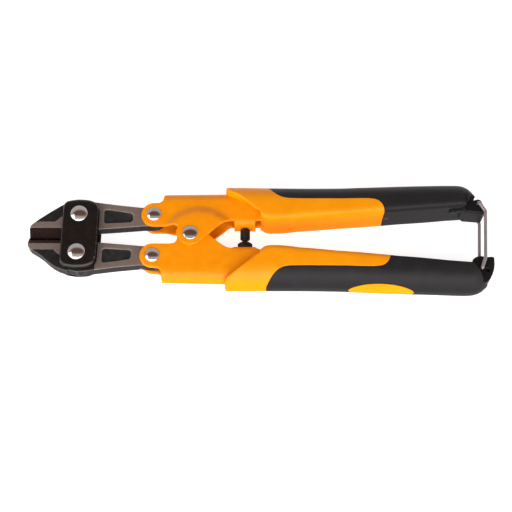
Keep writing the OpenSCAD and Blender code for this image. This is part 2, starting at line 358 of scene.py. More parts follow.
def lathe(name, prof, origin, axis="z", n=56, sign=1):
    """Surface of revolution of (radius, height) points about z or y."""
    verts, faces, ring = [], [], []
    for r, h in prof:
        if r < 1e-6:
            ring.append([len(verts)])
            verts.append((0, 0, h))
        else:
            ring.append(list(range(len(verts), len(verts) + n)))
            verts += [(r * math.cos(2 * math.pi * k / n), r * math.sin(2 * math.pi * k / n), h) for k in range(n)]
    for A, B in zip(ring[:-1], ring[1:]):
        for k in range(n):
            j = (k + 1) % n
            if len(A) == 1 and len(B) > 1:
                faces.append((A[0], B[j], B[k]))
            elif len(B) == 1 and len(A) > 1:
                faces.append((A[k], A[j], B[0]))
            elif len(A) > 1:
                faces.append((A[k], A[j], B[j], B[k]))
    v = np.array(verts, float)
    if axis == "y":
        v = np.stack([v[:, 0], v[:, 2], -v[:, 1]], 1)
    v = v + np.array(origin, float)
    return new_object(name, world(v), faces)


def tube(name, path, r, n=20, cap=4):
    """Round wire along a path, with rounded ends."""
    P = [np.array(p, float) for p in path]
    T = []
    for i in range(len(P)):
        a = P[max(i - 1, 0)]
        b = P[min(i + 1, len(P) - 1)]
        T.append((b - a) / np.linalg.norm(b - a))
    up = np.array([1.0, 0, 0]) if abs(T[0][0]) < 0.8 else np.array([0, 1.0, 0])
    x = np.cross(T[0], up)
    x /= np.linalg.norm(x)
    rows = []
    for k in range(cap):                     # rounded start
        a = math.pi / 2 * k / cap
        rows.append((P[0] - T[0] * r * math.cos(a), T[0], x, r * math.sin(a)))
    for p, t in zip(P, T):
        x = x - t * float(x @ t)
        x /= np.linalg.norm(x)
        rows.append((p, t, x, r))
    for k in range(cap - 1, -1, -1):
        a = math.pi / 2 * k / cap
        rows.append((P[-1] + T[-1] * r * math.cos(a), T[-1], x, r * math.sin(a)))
    verts, faces, ring = [], [], []
    for p, t, x, rr in rows:
        if rr < 1e-6:
            ring.append([len(verts)])
            verts.append(p)
            continue
        y = np.cross(t, x)
        ring.append(list(range(len(verts), len(verts) + n)))
        verts += [p + rr * (math.cos(2 * math.pi * k / n) * x + math.sin(2 * math.pi * k / n) * y) for k in range(n)]
    for A, B in zip(ring[:-1], ring[1:]):
        for k in range(n):
            j = (k + 1) % n
            if len(A) == 1:
                faces.append((A[0], B[j], B[k]))
            elif len(B) == 1:
                faces.append((A[k], A[j], B[0]))
            else:
                faces.append((A[k], A[j], B[j], B[k]))
    return new_object(name, world(np.array(verts)), faces)


def bend3(pts, r, seg=8):
    """Rounds the corners of an open 3-D path."""
    P = [np.array(p, float) for p in pts]
    out = [P[0]]
    for i in range(1, len(P) - 1):
        a, b = P[i - 1] - P[i], P[i + 1] - P[i]
        la, lb = np.linalg.norm(a), np.linalg.norm(b)
        a, b = a / la, b / lb
        ang = math.acos(float(np.clip(a @ b, -1, 1)))
        t = min(r / math.tan(ang / 2), 0.45 * la, 0.45 * lb)
        s, e = P[i] + a * t, P[i] + b * t
        for k in range(seg + 1):
            u = k / seg
            out.append((1 - u) ** 2 * s + 2 * u * (1 - u) * P[i] + u * u * e)
    out.append(P[-1])
    return out


# ------------------------------------------------------------------ materials
def rgb(r, g, b):
    """sRGB 0-255 to linear."""
    f = lambda c: (c / 255 / 12.92) if c / 255 <= 0.04045 else ((c / 255 + 0.055) / 1.055) ** 2.4
    return (f(r), f(g), f(b), 1.0)


class Mat:
    def __init__(self, name, rough=0.5, metallic=0.0, coat=0.0, coat_rough=0.1, spec=0.5, ior=1.5):
        self.m = bpy.data.materials.new(name)
        self.m.use_nodes = True
        self.t = self.m.node_tree
        self.b = self.t.nodes["Principled BSDF"]
        self.b.inputs["Roughness"].default_value = rough
        self.b.inputs["Metallic"].default_value = metallic
        self.b.inputs["Coat Weight"].default_value = coat
        self.b.inputs["Coat Roughness"].default_value = coat_rough
        self.b.inputs["Specular IOR Level"].default_value = spec
        self.b.inputs["IOR"].default_value = ior
        self.tc = self.t.nodes.new("ShaderNodeTexCoord")

    def node(self, kind, **kw):
        n = self.t.nodes.new(kind)
        for k, v in kw.items():
            if k in n.inputs:
                n.inputs[k].default_value = v
            else:
                setattr(n, k, v)
        return n

    def link(self, a, b):
        self.t.links.new(a, b)

    def noise(self, scale, detail=4.0, rough=0.55, stretch=None, dist=0.0):
        n = self.node("ShaderNodeTexNoise", Scale=scale, Detail=detail, Roughness=rough, Distortion=dist)
        src = self.tc.outputs["Object"]
        if stretch:
            mp = self.node("ShaderNodeMapping")
            mp.inputs["Scale"].default_value = stretch
            self.link(src, mp.inputs["Vector"])
            src = mp.outputs["Vector"]
        self.link(src, n.inputs["Vector"])
        return n.outputs["Fac"]

    def ramp(self, fac, stops):
        r = self.node("ShaderNodeValToRGB")
        el = r.color_ramp.elements
        while len(el) < len(stops):
            el.new(0.5)
        for e, (p, c) in zip(el, stops):
            e.position = p
            e.color = c if len(c) == 4 else (*c, 1)
        self.link(fac, r.inputs["Fac"])
        return r.outputs["Color"]

    def math(self, op, a, b=None, c=None, clamp=False):
        n = self.node("ShaderNodeMath", operation=op, use_clamp=clamp)
        for i, v in enumerate((a, b, c)):
            if v is None:
                continue
            if isinstance(v, (int, float)):
                n.inputs[i].default_value = v
            else:
                self.link(v, n.inputs[i])
        return n.outputs[0]

    def mix(self, fac, a, b, blend="MIX"):
        n = self.node("ShaderNodeMix", data_type="RGBA", blend_type=blend)
        ins = {i.identifier: i for i in n.inputs}
        for key, v in (("Factor_Float", fac), ("A_Color", a), ("B_Color", b)):
            if isinstance(v, (int, float)):
                ins[key].default_value = v
            elif isinstance(v, tuple):
                ins[key].default_value = v
            else:
                self.link(v, ins[key])
        return [o for o in n.outputs if o.identifier == "Result_Color"][0]

    def xyz(self):
        s = self.node("ShaderNodeSeparateXYZ")
        self.link(self.tc.outputs["Object"], s.inputs[0])
        return s.outputs

    def edge(self, lo=0.5, hi=0.56):
        g = self.node("ShaderNodeNewGeometry")
        return self.math("MULTIPLY", self.math("SUBTRACT", g.outputs["Pointiness"], lo), 1 / (hi - lo), clamp=True)

    def color(self, c):
        self.link(c, self.b.inputs["Base Color"])

    def flat(self, lo=0.25, hi=0.85):
        """1 on faces square to the pivots, 0 on the upright side faces."""
        g = self.node("ShaderNodeNewGeometry")
        s = self.node("ShaderNodeSeparateXYZ")
        self.link(g.outputs["Normal"], s.inputs[0])
        return self.math("MULTIPLY", self.math("SUBTRACT", self.math("ABSOLUTE", s.outputs[2]), lo), 1 / (hi - lo), clamp=True)

    def dull_sides(self, top, side, coat=None):
        """Side faces are less polished than the flat faces."""
        f = self.flat()
        self.link(self.math("ADD", self.math("MULTIPLY", f, top - side), side), self.b.inputs["Specular IOR Level"])
        if coat is not None:
            self.link(self.math("MULTIPLY", f, coat), self.b.inputs["Coat Weight"])

    def rough(self, fac, lo, hi):
        r = self.node("ShaderNodeMapRange")
        r.inputs["To Min"].default_value = lo
        r.inputs["To Max"].default_value = hi
        self.link(fac, r.inputs["Value"])
        self.link(r.outputs[0], self.b.inputs["Roughness"])

    def bump(self, height, strength=0.2, dist=0.0001):
        b = self.node("ShaderNodeBump", Strength=strength, Distance=dist)
        self.link(height, b.inputs["Height"])
        self.link(b.outputs["Normal"], self.b.inputs["Normal"])
        self.link(b.outputs["Normal"], self.b.inputs["Coat Normal"])
        return b


def orange_paint():
    m = Mat("orange_paint", coat_rough=0.2)
    m.dull_sides(0.24, 0.02, 0.06)
    n = m.noise(260, 5)
    c = m.ramp(n, [(0.3, rgb(247, 144, 0)), (0.55, rgb(252, 151, 0)), (0.8, rgb(255, 158, 2))])
    spots = m.ramp(m.noise(1500, 2), [(0.70, (0, 0, 0)), (0.78, (1, 1, 1))])
    c = m.mix(m.math("MULTIPLY", spots, 0.12), c, rgb(190, 96, 0))
    m.color(c)
    m.rough(n, 0.34, 0.46)
    m.bump(m.math("ADD", m.noise(900, 3), m.math("MULTIPLY", m.noise(2600, 2), 0.5)), 0.10, 0.00012)
    return m.m


def orange_plastic():
    m = Mat("orange_plastic", coat_rough=0.25)
    m.dull_sides(0.24, 0.02, 0.04)
    n = m.noise(120, 4)
    c = m.ramp(n, [(0.3, rgb(249, 150, 0)), (0.6, rgb(254, 157, 0)), (0.85, rgb(255, 163, 3))])
    m.color(c)
    m.rough(n, 0.36, 0.50)
    m.bump(m.noise(3600, 2), 0.07, 0.0001)
    return m.m


def orange_soft():
    m = Mat("orange_soft")
    m.dull_sides(0.2, 0.03)
    n = m.noise(150, 4)
    c = m.ramp(n, [(0.3, rgb(249, 153, 2)), (0.8, rgb(255, 165, 8))])
    m.color(c)
    m.rough(n, 0.5, 0.62)
    m.bump(m.noise(4200, 2), 0.12, 0.0001)
    return m.m


def black_rubber():
    m = Mat("black_rubber")
    m.dull_sides(0.27, 0.10)
    n = m.noise(180, 5)
    c = m.ramp(n, [(0.3, rgb(28, 26, 28)), (0.6, rgb(34, 32, 34)), (0.85, rgb(42, 39, 42))])
    dust = m.ramp(m.noise(900, 6, 0.7), [(0.66, (0, 0, 0)), (0.82, (1, 1, 1))])
    c = m.mix(m.math("MULTIPLY", dust, 0.10), c, rgb(110, 106, 104))
    s = m.xyz()                                          # the plug in the upper grip's end, darker than the rest of the grip
    az = m.math("ABSOLUTE", m.math("SUBTRACT", s[2], MZ / 1000))
    slant = m.math("ADD", s[0], m.math("MULTIPLY", az, 0.6))
    plug = m.math("MULTIPLY", m.math("GREATER_THAN", slant, 0.09995), m.math("GREATER_THAN", s[1], 0.0))
    c = m.mix(plug, c, rgb(13, 12, 13))
    m.color(c)
    m.rough(n, 0.46, 0.60)
    m.bump(m.math("ADD", m.noise(5200, 2), m.math("MULTIPLY", m.noise(1400, 3), 0.5)), 0.18, 0.0001)
    return m.m


def black_gloss():
    m = Mat("black_gloss", coat_rough=0.1)
    m.dull_sides(0.42, 0.0, 0.35)
    n = m.noise(300, 5)
    c = m.ramp(n, [(0.3, rgb(19, 17, 17)), (0.8, rgb(30, 27, 26))])
    # Pale patches on the convex edges are edge wear and also a painted highlight line along the plate's rounded edges.
    wear_and_edge_highlight = m.math("MULTIPLY", m.edge(0.515, 0.56), m.ramp(m.noise(700, 4), [(0.52, (0, 0, 0)), (0.66, (1, 1, 1))]))
    c = m.mix(m.math("MULTIPLY", wear_and_edge_highlight, 0.16), c, rgb(120, 108, 100))
    m.color(c)
    m.rough(n, 0.16, 0.28)
    m.bump(m.noise(1200, 3), 0.06, 0.0001)
    return m.m


def black_oxide():
    m = Mat("black_oxide", metallic=0.7, spec=0.5)
    n = m.noise(500, 5)
    m.color(m.ramp(n, [(0.3, rgb(30, 26, 26)), (0.8, rgb(52, 45, 43))]))
    m.rough(n, 0.3, 0.46)
    m.bump(m.noise(2000, 4), 0.15, 0.0001)
    return m.m


def black_moulded():
    m = Mat("black_moulded")
    m.dull_sides(0.28, 0.10)
    n = m.noise(260, 5)
    m.color(m.ramp(n, [(0.3, rgb(16, 15, 16)), (0.8, rgb(26, 24, 25))]))
    m.rough(n, 0.36, 0.5)
    m.bump(m.noise(3000, 3), 0.14, 0.0001)
    return m.m


def chrome():
    m = Mat("chrome", metallic=1.0)
    n = m.noise(420, 5)
    m.color(m.ramp(n, [(0.3, rgb(205, 200, 200)), (0.8, rgb(226, 222, 222))]))
    m.rough(m.noise(900, 4), 0.08, 0.18)
    m.bump(m.noise(1500, 3), 0.05, 0.0001)
    return m.m


def steel_wire():
    m = Mat("steel_wire", metallic=0.45, spec=0.3)
    n = m.noise(300, 5, stretch=(4, 0.5, 1))
    m.color(m.ramp(n, [(0.3, rgb(150, 141, 141)), (0.8, rgb(184, 175, 174))]))
    m.rough(n, 0.26, 0.4)
    m.bump(m.noise(1500, 3, stretch=(6, 0.4, 6)), 0.12, 0.0001)
    return m.m


def turned_steel():
    m = Mat("turned_steel", metallic=1.0)
    n = m.noise(300, 5, stretch=(1, 1, 12))
    m.color(m.ramp(n, [(0.3, rgb(120, 116, 114)), (0.8, rgb(160, 156, 152))]))
    m.rough(n, 0.25, 0.4)
    m.bump(n, 0.1, 0.0001)
    return m.m


def jaw_steel():
    """Forged jaw: black oxide, with ground bands along the cutting side and on the flat tail."""
    m = Mat("jaw_steel")
    s = m.xyz()
    ay = m.math("ABSOLUTE", s[1])
    az = m.math("ABSOLUTE", m.math("SUBTRACT", s[2], MZ / 1000))
    x = s[0]
    wob = m.math("MULTIPLY", m.math("SUBTRACT", m.noise(900, 4), 0.5), 0.0009)
    grind = m.noise(700, 6, 0.7, stretch=(1, 14, 1))
    light = m.ramp(grind, [(0.25, rgb(122, 108, 101)), (0.5, rgb(142, 127, 119)), (0.75, rgb(164, 150, 142))])
    dark = m.ramp(m.noise(420, 5), [(0.3, rgb(38, 37, 37)), (0.8, rgb(58, 56, 56))])
    bevel = m.ramp(m.noise(600, 5, 0.65, stretch=(14, 1, 1)), [(0.3, rgb(24, 15, 14)), (0.75, rgb(52, 37, 33))])
    # nose: black outside the ground band, whose edge flares towards the plates
    nose = m.math("LESS_THAN", x, -0.0750)
    flare = m.math("MULTIPLY", m.math("ADD", x, 0.0965), 0.55)
    flare = m.math("MAXIMUM", m.math("MULTIPLY", m.math("ADD", x, 0.0945), 0.9), 0.0)
    lim = m.math("ADD", m.math("MINIMUM", m.math("ADD", flare, 0.0070), 0.0095), wob)
    outer = m.math("MULTIPLY", nose, m.math("GREATER_THAN", ay, lim))
    # the band's outer edge wavers with the noise added to lim
    face = m.math("GREATER_THAN", az, 0.00255)          # only the ground top and bottom faces are light
    on_bevel = m.math("MULTIPLY", nose, m.math("LESS_THAN", ay, 0.00385))
    recess = m.math("LESS_THAN", az, 0.00275)
    c = m.mix(face, dark, light)
    c = m.mix(m.math("MULTIPLY", face, outer), c, dark)
    c = m.mix(on_bevel, c, bevel)
    low = m.math("LESS_THAN", s[1], -0.0003)
    # The lower jaw's bevel beyond 1.5 mm from the cutting edge is painted paler as its lit side, facing the light from
    # behind.
    painted_lit_bevel = m.math("MULTIPLY", m.math("MULTIPLY", on_bevel, low), m.math("LESS_THAN", m.math("ADD", s[1], wob), -0.0015))
    # A black band on the lower jaw's bevel, up to 1.5 mm from the cutting edge, is painted shade for the dark gap seen
    # between the jaws.
    edge = m.math("MULTIPLY", m.math("MULTIPLY", on_bevel, low), m.math("GREATER_THAN", m.math("ADD", s[1], wob), -0.0015))
    c = m.mix(painted_lit_bevel, c, rgb(62, 51, 46))
    c = m.mix(edge, c, rgb(10, 8, 8))
    c = m.mix(m.math("MULTIPLY", m.math("MULTIPLY", recess, m.math("GREATER_THAN", x, -0.073)), 1.0), c, dark)
    # Lighter convex edges away from the bevel are edge wear and also a painted edge highlight along the jaw's outline.
    worn_edge_and_highlight = m.math("MULTIPLY", m.edge(0.515, 0.57), m.math("MULTIPLY", m.math("SUBTRACT", 1.0, on_bevel), 0.6))
    c = m.mix(worn_edge_and_highlight, c, rgb(150, 138, 130))
    m.color(c)
    bright = m.math("MULTIPLY", face, m.math("SUBTRACT", 1.0, on_bevel))
    m.link(m.math("MULTIPLY", bright, 0.5), m.b.inputs["Metallic"])
    m.link(m.math("ADD", m.math("MULTIPLY", bright, 0.31), 0.02), m.b.inputs["Specular IOR Level"])
    m.rough(grind, 0.32, 0.5)
    m.bump(m.math("ADD", grind, m.math("MULTIPLY", m.noise(2600, 4), 0.5)), 0.14, 0.0001)
    return m.m


MATS = {"jaw_steel": jaw_steel(), "plate_black": black_gloss(), "rivet_chrome": chrome(),
        "leg_paint": orange_paint(), "spacer_steel": turned_steel(), "screw_black": black_oxide(),
        "sleeve_orange": orange_plastic(), "grip_black": black_rubber(), "inlay_orange": orange_soft(),
        "latch_black": black_moulded(), "wire_steel": steel_wire()}


def put(ob, body, slot, *nodes):
    ob.data.materials.clear()
    ob.data.materials.append(MATS[slot])
    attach(ob, body)
    if nodes:
        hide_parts(*nodes)
    return ob


def smooth01(t):
    t = min(1.0, max(0.0, t))
    return t * t * (3 - 2 * t)


# ------------------------------------------------------------------ jaws
JAW, LUG, PIV = (-74.75, 9.45), (-40.6, 10.2), (-23.5, 0.0)


UPPER_NOSE = [(-97.65, 3.4), (-97.4, 4.8), (-96.2, 6.1), (-93.3, 8.5), (-88.9, 11.75), (-84.5, 14.75), (-82.3, 16.1),
              (-80.5, 17.0), (-78.4, 17.5)]
LOWER_NOSE = [(-98.0, 4.2), (-97.7, 5.5), (-96.6, 6.7), (-93.0, 8.9), (-90.4, 10.8), (-88.0, 13.0), (-85.6, 14.8),
              (-83.2, 16.1), (-80.8, 16.95), (-78.5, 17.5)]


def make_jaw(name, sign, hole, nose, E):
    pts = (fillet([(nose[0][0], E)] + nose, [0] + [1.2] * len(nose)) + [(-74.7, 17.8), (-71.0, 17.5), (-67.2, 16.9),
                                                                    (-57.6, 15.6), (-46.3, 14.4)]
           + arc(LUG, 5.2, 70, -75, 16)
           + [(-45.8, 4.9), (-56.7, 3.95), (-66.3, 3.2), (-69.0, 2.3)]
           + arc(JAW, 9.35, -64, -135, 14) + [(-82.0, E)])
    rec = fillet([(-63.9, 12.6), (-63.0, 13.4), (-56.1, 12.5), (-51.2, 11.6), (-50.4, 10.7),
                  (-50.2, 7.9), (-51.3, 6.8), (-62.8, 6.1), (-63.8, 7.0)], 0.9)
    rec = tidy(rec, 0.6)
    if area2(rec) < 0:
        rec = rec[::-1]
    fl = np.ones(len(rec))
    r_in = inset(rec, fl, 0.35)
    r_mid = inset(rec, fl, 0.12)

    def h(x, y):
        z = 2.9
        if x < -81.6:
            z = min(z, 0.12 + (y - E) / (3.9 - E) * 2.78)
        p = np.array([[x, y]])
        if -66 < x < -48 and inside(p, rec)[0]:
            d = min(seg_dist(p, rec[i], rec[(i + 1) % len(rec)])[0] for i in range(len(rec)))
            z -= 0.5 * smooth01(d / 0.4)
        return z

    cache = {}

    def out(x, y):
        k = (round(x, 5), round(y, 5))
        if k not in cache:
            cache[k] = h(x, y)
        return (x, y, cache[k])

    close = lambda L: list(map(tuple, L)) + [tuple(L[0])]
    ob = skin(name, pts, [circle(JAW, hole, 40), circle(LUG, 2.05, 40)], 1.1, out,
              lambda x, y: (0, 0, -1), lambda x, y: (x, y, 0.0), rim=0.3, seg=3, sign=sign,
              creases=[[(-98.5, 3.9), (-81.6, 3.9)], [(-81.6, E - 0.2), (-81.6, 3.9)], [(-81.5, E - 0.2), (-81.5, 3.9)],
                       close(rec), close(r_mid), close(r_in)])
    return ob


put(make_jaw("upper_jaw_blade", 1, 2.6, UPPER_NOSE, -0.296), "upper_jaw", "jaw_steel", "upper_jaw")
put(make_jaw("lower_jaw_blade", -1, 2.45, LOWER_NOSE, 0.298), "lower_jaw", "jaw_steel", "lower_jaw")


# ------------------------------------------------------------------ side plates
HP = 6.8                                # outer face of the head plates


def make_plate(name, zs):
    half_pts = [(-82.3, 14.4), (-81.0, 16.3), (-75.8, 17.3), (-70.2, 16.9), (-66.9, 15.3), (-65.8, 12.3)]
    pts = [(x, -y) for x, y in half_pts] + half_pts[::-1]
    pts = fillet(pts, [3, 4, 14, 8, 4, 3, 3, 4, 8, 14, 4, 3])
    ob = skin(name, pts, [circle(JAW, 2.4, 40), circle((JAW[0], -JAW[1]), 2.4, 40)], 1.6,
              lambda x, y: (x, y, HP), lambda x, y: (0, 0, -1), lambda x, y: (x, y, 3.0),
              rim=0.9, rim_bottom=0.3, bottom=True, both=False, seg=7,
              rim_at=lambda a, b: 1.0 + 1.0 * smooth01((0.5 * (abs(a[1]) + abs(b[1])) - 13.0) / 3.5))
    if zs < 0:
        for v in ob.data.vertices:
            v.co.z = 2 * MZ / 1000 - v.co.z
        ob.data.flip_normals()
    return ob


put(make_plate("front_plate", 1), "head_plates", "plate_black", "front_side_plate")
put(make_plate("rear_plate", -1), "head_plates", "plate_black", "rear_side_plate")


# ------------------------------------------------------------------ rivets
def rivet_profile(sr, hr, z1, hh):
    k = hh - 0.25
    big = (hr * hr + k * k) / (2 * k)
    half = [(sr, z1), (hr - 0.12, z1), (hr, z1 + 0.12), (hr, z1 + 0.25)]
    for i in range(1, 12):
        x = hr * (1 - i / 12)
        half.append((x, z1 + hh - big + math.sqrt(big * big - x * x)))
    half.append((0.0, z1 + hh))
    return [(r, -z) for r, z in reversed(half)] + half


for nm, p, sr, hr, z1, hh, body, node in (
        ("upper_jaw_rivet_pin", JAW, 2.4, 3.95, HP, 1.4, "head_plates", "upper_jaw_rivet"),
        ("lower_jaw_rivet_pin", (JAW[0], -JAW[1]), 2.4, 3.95, HP, 1.4, "head_plates", "lower_jaw_rivet"),
        ("upper_lug_rivet_pin", LUG, 2.0, 3.4, 5.0, 1.3, "upper_handle", "upper_lug_rivet"),
        ("lower_lug_rivet_pin", (LUG[0], -LUG[1]), 2.0, 3.4, 5.0, 1.3, "lower_handle", "lower_lug_rivet"),
        ("main_pivot_pin", PIV, 2.4, 3.4, 7.15, 1.05, "lower_handle", "main_pivot_rivet")):
    put(lathe(nm, rivet_profile(sr, hr, z1, hh), (p[0], p[1], 0)), body, "rivet_chrome", node)

put(lathe("pivot_bush", [(2.4, -3.0), (4.2, -3.0), (4.4, -2.8), (4.4, -1.6), (4.3, -1.5), (4.3, 1.5), (4.4, 1.6),
                         (4.4, 2.8), (4.2, 3.0), (2.4, 3.0), (2.4, -3.0)], (PIV[0], PIV[1], 0)),
    "lower_handle", "spacer_steel", "pivot_spacer")

# ------------------------------------------------------------------ legs
SPINE = 16.7
V_SEAM = SPINE + 4 * math.pi / 2
TB_Y, TB_R = 7.4, 1.2                   # bend of the folded tab
V_B1 = TB_Y - TB_R * math.pi / 2
V_TAB = V_B1 - 2.8
JOG, JOG_IN, JOG_OUT = (-19.3, -5.1), 15.0, 19.2


def leg_point(u, v, off, jog):
    flare = 0.017 * (u + 36) * smooth01((v - 8) / 9)
    if v > SPINE:
        t = (v - SPINE) / 4
        return (u, SPINE + flare + (4 + off) * math.sin(t), (4 + off) * math.cos(t))
    z = 4 + off
    if jog:
        r = math.hypot(u - JOG[0], v - JOG[1])
        z += 2.1 * smooth01((JOG_OUT - r) / (JOG_OUT - JOG_IN))
        k = 1.0 if -3.65 <= u <= 6.35 else 0.0
    else:
        k = smooth01((u + 5.4) / 1.9) * smooth01((8.1 - u) / 1.9)
    if v < TB_Y and k > 0:
        if v >= V_B1:
            t = (TB_Y - v) / TB_R
            q = (TB_Y - (TB_R + off) * math.sin(t), 2.8 + (TB_R + off) * math.cos(t))
        else:
            q = (TB_Y - (TB_R + off), 2.8 - (V_B1 - v))
        return (u, v + (q[0] - v) * k, z + (q[1] - z) * k)
    return (u, v + flare, z)


def leg_dir(u, v, jog):
    a, b = np.array(leg_point(u, v, 1, jog)), np.array(leg_point(u, v, -1, jog))
    d = b - a
    return d / np.linalg.norm(d)


def leg_seam(a, b):
    return (abs(a[1] - V_SEAM) < 1e-6 and abs(b[1] - V_SEAM) < 1e-6) or (abs(a[1] - V_TAB) < 1e-6 and abs(b[1] - V_TAB) < 1e-6)


def leg_tail(flush):
    """Outline from the tab's root, round the hidden end, along the back, to the lug's shoulder."""
    r = 6.35 if flush else 7.55
    pts = [(-3.5, r), (-3.5, V_TAB), (6.2, V_TAB), (6.2, r), (11, 7.9), (97, 15.5), (97, V_SEAM),
           (-36.2, V_SEAM), (-36.4, 17.9), (-37.2, 16.6), (-38.4, 16.05), (-40.6, 16.0)]
    rad = [0.5, 0, 0, 0.5, 0, 0.5, 0, 0, 0.8, 1.2, 1.0, 0]
    return pts, rad


def make_upper_leg():
    tail, rad = leg_tail(False)
    lug = arc(LUG, 5.8, 100, 262, 18)
    mid = [(-35.5, 4.45), (-31.0, 4.55), (-29.45, 3.6), (-29.3, 1.2)]
    lobe = arc(PIV, 5.8, 178, 318, 14)
    up = [(-17.4, -2.4), (-14.9, 0.2), (-12.4, 2.6), (-9.8, 4.8), (-7.6, 6.5), (-5.6, 7.4)]
    pts = tail + lug + mid + lobe + up
    rad = rad + [0] * len(lug) + [2.0, 1.6, 1.0, 1.5] + [0] * len(lobe) + [3, 6, 6, 6, 4, 2]
    ob = skin("upper_leg_pressing", fillet(pts, rad), [circle(LUG, 2.0, 40), circle(PIV, 2.45, 40)], 1.3,
              lambda u, v: leg_point(u, v, 1, True), lambda u, v: leg_dir(u, v, True),
              lambda u, v: leg_point(u, v, -1, True), rim=0.45, bottom=True, seam=leg_seam, seg=3)
    return ob


def make_lower_leg():
    tail, rad = leg_tail(True)
    lug = arc(LUG, 5.8, 100, 262, 18)
    mid = [(-33.5, 4.45), (-31.2, 4.2), (-29.9, 3.1), (-29.5, 1.2)]
    lobe = [(-23.5 + 7 * math.cos(math.radians(a)), -7 * math.sin(math.radians(a))) for a in np.linspace(168, 62, 12)]
    lobe = [(x, -abs(y)) for x, y in lobe]
    up = [(-18.0, -4.2), (-15.6, -0.9), (-13.2, 1.3), (-10.9, 3.3), (-8.6, 5.0), (-6.6, 6.1), (-5.0, 6.35)]
    pts = tail + lug + mid + lobe + up
    rad = rad + [0] * len(lug) + [2.0, 1.6, 1.2, 1.0] + [0] * len(lobe) + [2, 4, 8, 8, 6, 4, 0]
    ob = skin("lower_leg_pressing", fillet(pts, rad), [circle(LUG, 2.0, 40), circle(PIV, 2.4, 40)], 1.3,
              lambda u, v: leg_point(u, v, 1, False), lambda u, v: leg_dir(u, v, False),
              lambda u, v: leg_point(u, v, -1, False), rim=0.45, bottom=True, seam=leg_seam, seg=3, sign=-1)
    return ob


put(make_upper_leg(), "upper_handle", "leg_paint", "upper_leg")
put(make_lower_leg(), "lower_handle", "leg_paint", "lower_leg")

# ------------------------------------------------------------------ grips
GH, GR = 9.6, 2.0
Q = GH * math.pi / 2
XI = [-20, 7.9, 8.5, 9.8, 11.7, 15.2, 29, 40, 53.8, 67.4, 80, 89, 99, 104, 114]
YI = [10.0, 9.5, 8.5, 7.3, 6.45, 6.3, 7.5, 8.45, 9.6, 10.8, 11.9, 12.7, 13.6, 14.0, 14.9]
XO = {1: [-20, 0, 8, 27, 45, 54, 73, 88, 97, 100, 102, 104, 105.5, 106.8, 107.8, 108.4, 110],
      -1: [-20, 0, 8, 27, 45, 54, 73, 88, 97, 100, 104, 106.8, 109, 110.7, 112, 112.8, 114]}
YO = {1: [25.2, 25.2, 25.1, 24.95, 25.15, 25.55, 26.3, 26.75, 26.92, 26.92, 26.7, 26.0, 25.1, 23.8, 22.7, 21.9, 20.0],
      -1: [25.2, 25.2, 25.1, 24.95, 25.1, 25.5, 26.1, 26.45, 26.75, 26.82, 26.7, 26.1, 25.0, 23.6, 22.0, 20.8, 18.9]}
XH = {1: [-20, 99, 102, 104, 106, 107.4, 108.4, 112],       # half thickness along the grip
      -1: [-20, 103, 106, 108, 109.5, 111, 112.2, 112.9, 115]}
YH = {1: [9.6, 9.6, 9.5, 9.25, 8.7, 8.1, 7.5, 6.5],
      -1: [9.6, 9.6, 9.4, 8.9, 8.1, 6.8, 5.0, 3.6, 3.2]}


def pch(xs, ys):
    """Smooth monotone interpolation (cubic Hermite with limited slopes)."""
    xs, ys = np.array(xs, float), np.array(ys, float)
    h = np.diff(xs)
    d = np.diff(ys) / h
    m = np.zeros(len(xs))
    m[1:-1] = np.where(d[:-1] * d[1:] > 0, 2 * d[:-1] * d[1:] / (d[:-1] + d[1:] + 1e-12), 0)
    m[0], m[-1] = d[0], d[-1]

    def f(x):
        i = int(min(max(np.searchsorted(xs, x) - 1, 0), len(h) - 1))
        t = (x - xs[i]) / h[i]
        return float((2 * t ** 3 - 3 * t * t + 1) * ys[i] + (t ** 3 - 2 * t * t + t) * h[i] * m[i]
                     + (-2 * t ** 3 + 3 * t * t) * ys[i + 1] + (t ** 3 - t * t) * h[i] * m[i + 1])
    return f


y_in = pch(XI, YI)
Y_OUT = {k: pch(XO[k], YO[k]) for k in (1, -1)}
HALF = {k: pch(XH[k], YH[k]) for k in (1, -1)}
SIDE = [1]


def y_out(x):
    return Y_OUT[SIDE[0]](x)


def half(x):
    return HALF[SIDE[0]](x)


def grip_w(x):
    """w along the section: 0 at the back's mid-line; returns (start of corner, end of corner, mid-line of the inner face)."""
    yc = y_out(x) - GH
    a = Q + (yc - (y_in(x) + GR))
    b = a + GR * math.pi / 2
    return a, b, b + (GH - GR)


def grip_point(x, w):
    yc = y_out(x) - GH
    a, b, c = grip_w(x)
    k = half(x) / GH
    if w <= Q:
        t = w / GH
        y, z = yc + GH * math.cos(t), GH * math.sin(t)
        ny, nz = math.cos(t), math.sin(t)
    elif w <= a:
        y, z, ny, nz = yc - (w - Q), GH, 0.0, 1.0
    elif w <= b:
        t = (w - a) / GR
        y, z = y_in(x) + GR - GR * math.sin(t), GH - GR + GR * math.cos(t)
        ny, nz = -math.sin(t), math.cos(t)
    else:
        y, z = y_in(x), GH - GR - (w - b)
        ny, nz = -1.0, 0.0
    return (x, y, z * k), (0.0, -ny, -nz)


def core(x, w):
    return (x, 0.5 * (y_in(min(x, 104)) + y_out(min(x, 100))), 0.0)


def w_of(x, y):
    """w of the point on the outer surface with this y, on the face or the back."""
    yc = y_out(x) - GH
    if y > yc:
        return GH * math.acos(min(1.0, (y - yc) / GH))
    return Q + (yc - y)


def grip_seam(a, b):
    def on(p):
        if abs(p[1]) < 1e-4:
            return 1
        if abs(p[1] - grip_w(p[0])[2]) < 2e-2:
            return 2
        return 0
    s, t = on(a), on(b)
    return s != 0 and s == t


def inner_line(x0, x1, n):
    return [(x, grip_w(x)[2]) for x in np.linspace(x0, x1, n)]


